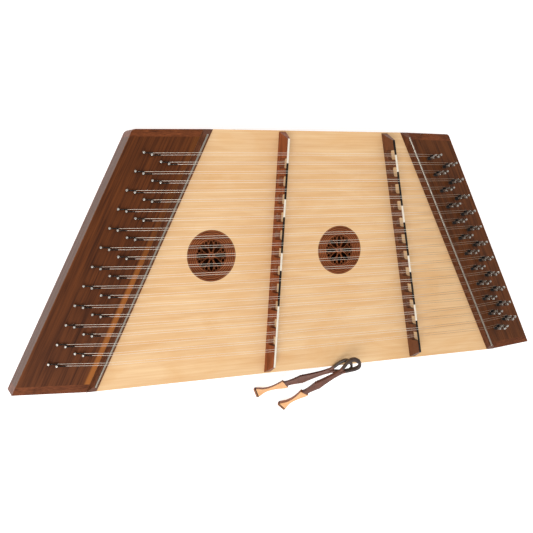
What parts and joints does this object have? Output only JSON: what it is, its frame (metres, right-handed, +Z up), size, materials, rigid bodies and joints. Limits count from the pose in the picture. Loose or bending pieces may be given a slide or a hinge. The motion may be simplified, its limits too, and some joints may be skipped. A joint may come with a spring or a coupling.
{
  "type": "hammered dulcimer",
  "caption": "Trapezoid hammered dulcimer with a hollow body, two long bridges, double string courses, turning tuning pins and a pair of light hammers.",
  "frame": {"origin": "middle of the flat underside of the body, midway between its front and back edges", "axes": "+X along the long front edge from the hitch pins to the tuning pins, +Y from the long front edge to the short back edge, +Z up out of the soundboard"},
  "size_m": [1.006, 0.5008, 0.1297],
  "materials": {
    "birch": "satin lacquer",
    "body_wood": "gloss lacquer",
    "dark_wood": "satin lacquer",
    "spruce": "bare",
    "rod_white": "polished",
    "nickel": "nickel plate",
    "steel_wire": "drawn wire",
    "hammer_wood": "oiled"
  },
  "bodies": {
    "body": {"soundboard": "birch", "back_board": "body_wood", "rails": "body_wood", "braces": "spruce", "hitch_pin_block": "body_wood", "tuning_pin_block": "body_wood", "rosettes": "dark_wood", "bridges": "dark_wood", "side_bridges": "dark_wood", "string_rods": "rod_white", "hitch_pins": "nickel", "strings": "steel_wire"},
    "tuning_pin_treble_01a": {"tuning_pin_treble_01a": "nickel"},
    "tuning_pin_treble_01b": {"tuning_pin_treble_01b": "nickel"},
    "tuning_pin_treble_02a": {"tuning_pin_treble_02a": "nickel"},
    "tuning_pin_treble_02b": {"tuning_pin_treble_02b": "nickel"},
    "tuning_pin_treble_03a": {"tuning_pin_treble_03a": "nickel"},
    "tuning_pin_treble_03b": {"tuning_pin_treble_03b": "nickel"},
    "tuning_pin_treble_04a": {"tuning_pin_treble_04a": "nickel"},
    "tuning_pin_treble_04b": {"tuning_pin_treble_04b": "nickel"},
    "tuning_pin_treble_05a": {"tuning_pin_treble_05a": "nickel"},
    "tuning_pin_treble_05b": {"tuning_pin_treble_05b": "nickel"},
    "tuning_pin_treble_06a": {"tuning_pin_treble_06a": "nickel"},
    "tuning_pin_treble_06b": {"tuning_pin_treble_06b": "nickel"},
    "tuning_pin_treble_07a": {"tuning_pin_treble_07a": "nickel"},
    "tuning_pin_treble_07b": {"tuning_pin_treble_07b": "nickel"},
    "tuning_pin_treble_08a": {"tuning_pin_treble_08a": "nickel"},
    "tuning_pin_treble_08b": {"tuning_pin_treble_08b": "nickel"},
    "tuning_pin_treble_09a": {"tuning_pin_treble_09a": "nickel"},
    "tuning_pin_treble_09b": {"tuning_pin_treble_09b": "nickel"},
    "tuning_pin_treble_10a": {"tuning_pin_treble_10a": "nickel"},
    "tuning_pin_treble_10b": {"tuning_pin_treble_10b": "nickel"},
    "tuning_pin_treble_11a": {"tuning_pin_treble_11a": "nickel"},
    "tuning_pin_treble_11b": {"tuning_pin_treble_11b": "nickel"},
    "tuning_pin_treble_12a": {"tuning_pin_treble_12a": "nickel"},
    "tuning_pin_treble_12b": {"tuning_pin_treble_12b": "nickel"},
    "tuning_pin_bass_01a": {"tuning_pin_bass_01a": "nickel"},
    "tuning_pin_bass_01b": {"tuning_pin_bass_01b": "nickel"},
    "tuning_pin_bass_02a": {"tuning_pin_bass_02a": "nickel"},
    "tuning_pin_bass_02b": {"tuning_pin_bass_02b": "nickel"},
    "tuning_pin_bass_03a": {"tuning_pin_bass_03a": "nickel"},
    "tuning_pin_bass_03b": {"tuning_pin_bass_03b": "nickel"},
    "tuning_pin_bass_04a": {"tuning_pin_bass_04a": "nickel"},
    "tuning_pin_bass_04b": {"tuning_pin_bass_04b": "nickel"},
    "tuning_pin_bass_05a": {"tuning_pin_bass_05a": "nickel"},
    "tuning_pin_bass_05b": {"tuning_pin_bass_05b": "nickel"},
    "tuning_pin_bass_06a": {"tuning_pin_bass_06a": "nickel"},
    "tuning_pin_bass_06b": {"tuning_pin_bass_06b": "nickel"},
    "tuning_pin_bass_07a": {"tuning_pin_bass_07a": "nickel"},
    "tuning_pin_bass_07b": {"tuning_pin_bass_07b": "nickel"},
    "tuning_pin_bass_08a": {"tuning_pin_bass_08a": "nickel"},
    "tuning_pin_bass_08b": {"tuning_pin_bass_08b": "nickel"},
    "tuning_pin_bass_09a": {"tuning_pin_bass_09a": "nickel"},
    "tuning_pin_bass_09b": {"tuning_pin_bass_09b": "nickel"},
    "tuning_pin_bass_10a": {"tuning_pin_bass_10a": "nickel"},
    "tuning_pin_bass_10b": {"tuning_pin_bass_10b": "nickel"},
    "tuning_pin_bass_11a": {"tuning_pin_bass_11a": "nickel"},
    "tuning_pin_bass_11b": {"tuning_pin_bass_11b": "nickel"},
    "hammer_rear": {"hammer_rear": "hammer_wood"},
    "hammer_front": {"hammer_front": "hammer_wood"}
  },
  "joints": [
    {"name": "turn_treble_01a", "type": "hinge", "parent": "body", "child": "tuning_pin_treble_01a", "pos_m": [0.40851, -0.1631, 0.06767], "axis": [0.2429, 0.1188, 0.9628], "range_deg": [-180, 20]},
    {"name": "turn_treble_01b", "type": "hinge", "parent": "body", "child": "tuning_pin_treble_01b", "pos_m": [0.40101, -0.1667, 0.07001], "axis": [0.2429, 0.1188, 0.9628], "range_deg": [-180, 20]},
    {"name": "turn_treble_02a", "type": "hinge", "parent": "body", "child": "tuning_pin_treble_02a", "pos_m": [0.39405, -0.13352, 0.06767], "axis": [0.2429, 0.1188, 0.9628], "range_deg": [-180, 20]},
    {"name": "turn_treble_02b", "type": "hinge", "parent": "body", "child": "tuning_pin_treble_02b", "pos_m": [0.38655, -0.13712, 0.07001], "axis": [0.2429, 0.1188, 0.9628], "range_deg": [-180, 20]},
    {"name": "turn_treble_03a", "type": "hinge", "parent": "body", "child": "tuning_pin_treble_03a", "pos_m": [0.37958, -0.10394, 0.06767], "axis": [0.2429, 0.1188, 0.9628], "range_deg": [-180, 20]},
    {"name": "turn_treble_03b", "type": "hinge", "parent": "body", "child": "tuning_pin_treble_03b", "pos_m": [0.37208, -0.10754, 0.07001], "axis": [0.2429, 0.1188, 0.9628], "range_deg": [-180, 20]},
    {"name": "turn_treble_04a", "type": "hinge", "parent": "body", "child": "tuning_pin_treble_04a", "pos_m": [0.36512, -0.07436, 0.06767], "axis": [0.2429, 0.1188, 0.9628], "range_deg": [-180, 20]},
    {"name": "turn_treble_04b", "type": "hinge", "parent": "body", "child": "tuning_pin_treble_04b", "pos_m": [0.35762, -0.07796, 0.07001], "axis": [0.2429, 0.1188, 0.9628], "range_deg": [-180, 20]},
    {"name": "turn_treble_05a", "type": "hinge", "parent": "body", "child": "tuning_pin_treble_05a", "pos_m": [0.35065, -0.04478, 0.06767], "axis": [0.2429, 0.1188, 0.9628], "range_deg": [-180, 20]},
    {"name": "turn_treble_05b", "type": "hinge", "parent": "body", "child": "tuning_pin_treble_05b", "pos_m": [0.34315, -0.04838, 0.07001], "axis": [0.2429, 0.1188, 0.9628], "range_deg": [-180, 20]},
    {"name": "turn_treble_06a", "type": "hinge", "parent": "body", "child": "tuning_pin_treble_06a", "pos_m": [0.33619, -0.0152, 0.06767], "axis": [0.2429, 0.1188, 0.9628], "range_deg": [-180, 20]},
    {"name": "turn_treble_06b", "type": "hinge", "parent": "body", "child": "tuning_pin_treble_06b", "pos_m": [0.32869, -0.0188, 0.07001], "axis": [0.2429, 0.1188, 0.9628], "range_deg": [-180, 20]},
    {"name": "turn_treble_07a", "type": "hinge", "parent": "body", "child": "tuning_pin_treble_07a", "pos_m": [0.32172, 0.01438, 0.06767], "axis": [0.2429, 0.1188, 0.9628], "range_deg": [-180, 20]},
    {"name": "turn_treble_07b", "type": "hinge", "parent": "body", "child": "tuning_pin_treble_07b", "pos_m": [0.31422, 0.01078, 0.07001], "axis": [0.2429, 0.1188, 0.9628], "range_deg": [-180, 20]},
    {"name": "turn_treble_08a", "type": "hinge", "parent": "body", "child": "tuning_pin_treble_08a", "pos_m": [0.30726, 0.04396, 0.06767], "axis": [0.2429, 0.1188, 0.9628], "range_deg": [-180, 20]},
    {"name": "turn_treble_08b", "type": "hinge", "parent": "body", "child": "tuning_pin_treble_08b", "pos_m": [0.29976, 0.04036, 0.07001], "axis": [0.2429, 0.1188, 0.9628], "range_deg": [-180, 20]},
    {"name": "turn_treble_09a", "type": "hinge", "parent": "body", "child": "tuning_pin_treble_09a", "pos_m": [0.29279, 0.07354, 0.06767], "axis": [0.2429, 0.1188, 0.9628], "range_deg": [-180, 20]},
    {"name": "turn_treble_09b", "type": "hinge", "parent": "body", "child": "tuning_pin_treble_09b", "pos_m": [0.28529, 0.06994, 0.07001], "axis": [0.2429, 0.1188, 0.9628], "range_deg": [-180, 20]},
    {"name": "turn_treble_10a", "type": "hinge", "parent": "body", "child": "tuning_pin_treble_10a", "pos_m": [0.27833, 0.10312, 0.06767], "axis": [0.2429, 0.1188, 0.9628], "range_deg": [-180, 20]},
    {"name": "turn_treble_10b", "type": "hinge", "parent": "body", "child": "tuning_pin_treble_10b", "pos_m": [0.27083, 0.09952, 0.07001], "axis": [0.2429, 0.1188, 0.9628], "range_deg": [-180, 20]},
    {"name": "turn_treble_11a", "type": "hinge", "parent": "body", "child": "tuning_pin_treble_11a", "pos_m": [0.26387, 0.1327, 0.06767], "axis": [0.2429, 0.1188, 0.9628], "range_deg": [-180, 20]},
    {"name": "turn_treble_11b", "type": "hinge", "parent": "body", "child": "tuning_pin_treble_11b", "pos_m": [0.25637, 0.1291, 0.07001], "axis": [0.2429, 0.1188, 0.9628], "range_deg": [-180, 20]},
    {"name": "turn_treble_12a", "type": "hinge", "parent": "body", "child": "tuning_pin_treble_12a", "pos_m": [0.2494, 0.16228, 0.06767], "axis": [0.2429, 0.1188, 0.9628], "range_deg": [-180, 20]},
    {"name": "turn_treble_12b", "type": "hinge", "parent": "body", "child": "tuning_pin_treble_12b", "pos_m": [0.2419, 0.15868, 0.07001], "axis": [0.2429, 0.1188, 0.9628], "range_deg": [-180, 20]},
    {"name": "turn_bass_01a", "type": "hinge", "parent": "body", "child": "tuning_pin_bass_01a", "pos_m": [0.43398, -0.14831, 0.05942], "axis": [0.2429, 0.1188, 0.9628], "range_deg": [-180, 20]},
    {"name": "turn_bass_01b", "type": "hinge", "parent": "body", "child": "tuning_pin_bass_01b", "pos_m": [0.42648, -0.15191, 0.06176], "axis": [0.2429, 0.1188, 0.9628], "range_deg": [-180, 20]},
    {"name": "turn_bass_02a", "type": "hinge", "parent": "body", "child": "tuning_pin_bass_02a", "pos_m": [0.41951, -0.11873, 0.05942], "axis": [0.2429, 0.1188, 0.9628], "range_deg": [-180, 20]},
    {"name": "turn_bass_02b", "type": "hinge", "parent": "body", "child": "tuning_pin_bass_02b", "pos_m": [0.41201, -0.12233, 0.06176], "axis": [0.2429, 0.1188, 0.9628], "range_deg": [-180, 20]},
    {"name": "turn_bass_03a", "type": "hinge", "parent": "body", "child": "tuning_pin_bass_03a", "pos_m": [0.40505, -0.08915, 0.05942], "axis": [0.2429, 0.1188, 0.9628], "range_deg": [-180, 20]},
    {"name": "turn_bass_03b", "type": "hinge", "parent": "body", "child": "tuning_pin_bass_03b", "pos_m": [0.39755, -0.09275, 0.06176], "axis": [0.2429, 0.1188, 0.9628], "range_deg": [-180, 20]},
    {"name": "turn_bass_04a", "type": "hinge", "parent": "body", "child": "tuning_pin_bass_04a", "pos_m": [0.39059, -0.05957, 0.05942], "axis": [0.2429, 0.1188, 0.9628], "range_deg": [-180, 20]},
    {"name": "turn_bass_04b", "type": "hinge", "parent": "body", "child": "tuning_pin_bass_04b", "pos_m": [0.38309, -0.06317, 0.06176], "axis": [0.2429, 0.1188, 0.9628], "range_deg": [-180, 20]},
    {"name": "turn_bass_05a", "type": "hinge", "parent": "body", "child": "tuning_pin_bass_05a", "pos_m": [0.37612, -0.02999, 0.05942], "axis": [0.2429, 0.1188, 0.9628], "range_deg": [-180, 20]},
    {"name": "turn_bass_05b", "type": "hinge", "parent": "body", "child": "tuning_pin_bass_05b", "pos_m": [0.36862, -0.03359, 0.06176], "axis": [0.2429, 0.1188, 0.9628], "range_deg": [-180, 20]},
    {"name": "turn_bass_06a", "type": "hinge", "parent": "body", "child": "tuning_pin_bass_06a", "pos_m": [0.36166, -0.00041, 0.05942], "axis": [0.2429, 0.1188, 0.9628], "range_deg": [-180, 20]},
    {"name": "turn_bass_06b", "type": "hinge", "parent": "body", "child": "tuning_pin_bass_06b", "pos_m": [0.35415, -0.00401, 0.06176], "axis": [0.2429, 0.1188, 0.9628], "range_deg": [-180, 20]},
    {"name": "turn_bass_07a", "type": "hinge", "parent": "body", "child": "tuning_pin_bass_07a", "pos_m": [0.34719, 0.02917, 0.05942], "axis": [0.2429, 0.1188, 0.9628], "range_deg": [-180, 20]},
    {"name": "turn_bass_07b", "type": "hinge", "parent": "body", "child": "tuning_pin_bass_07b", "pos_m": [0.33969, 0.02557, 0.06176], "axis": [0.2429, 0.1188, 0.9628], "range_deg": [-180, 20]},
    {"name": "turn_bass_08a", "type": "hinge", "parent": "body", "child": "tuning_pin_bass_08a", "pos_m": [0.33273, 0.05875, 0.05942], "axis": [0.2429, 0.1188, 0.9628], "range_deg": [-180, 20]},
    {"name": "turn_bass_08b", "type": "hinge", "parent": "body", "child": "tuning_pin_bass_08b", "pos_m": [0.32523, 0.05515, 0.06176], "axis": [0.2429, 0.1188, 0.9628], "range_deg": [-180, 20]},
    {"name": "turn_bass_09a", "type": "hinge", "parent": "body", "child": "tuning_pin_bass_09a", "pos_m": [0.31826, 0.08833, 0.05942], "axis": [0.2429, 0.1188, 0.9628], "range_deg": [-180, 20]},
    {"name": "turn_bass_09b", "type": "hinge", "parent": "body", "child": "tuning_pin_bass_09b", "pos_m": [0.31076, 0.08473, 0.06176], "axis": [0.2429, 0.1188, 0.9628], "range_deg": [-180, 20]},
    {"name": "turn_bass_10a", "type": "hinge", "parent": "body", "child": "tuning_pin_bass_10a", "pos_m": [0.3038, 0.11791, 0.05942], "axis": [0.2429, 0.1188, 0.9628], "range_deg": [-180, 20]},
    {"name": "turn_bass_10b", "type": "hinge", "parent": "body", "child": "tuning_pin_bass_10b", "pos_m": [0.2963, 0.11431, 0.06176], "axis": [0.2429, 0.1188, 0.9628], "range_deg": [-180, 20]},
    {"name": "turn_bass_11a", "type": "hinge", "parent": "body", "child": "tuning_pin_bass_11a", "pos_m": [0.28933, 0.14749, 0.05942], "axis": [0.2429, 0.1188, 0.9628], "range_deg": [-180, 20]},
    {"name": "turn_bass_11b", "type": "hinge", "parent": "body", "child": "tuning_pin_bass_11b", "pos_m": [0.28183, 0.14389, 0.06176], "axis": [0.2429, 0.1188, 0.9628], "range_deg": [-180, 20]},
    {"name": "lift_hammer_rear", "type": "slide", "parent": "body", "child": "hammer_rear", "axis": [0, 0, 1], "range_m": [0, 0.15]},
    {"name": "lift_hammer_front", "type": "slide", "parent": "hammer_rear", "child": "hammer_front", "axis": [0, 0, 1], "range_m": [0, 0.15]}
  ]
}
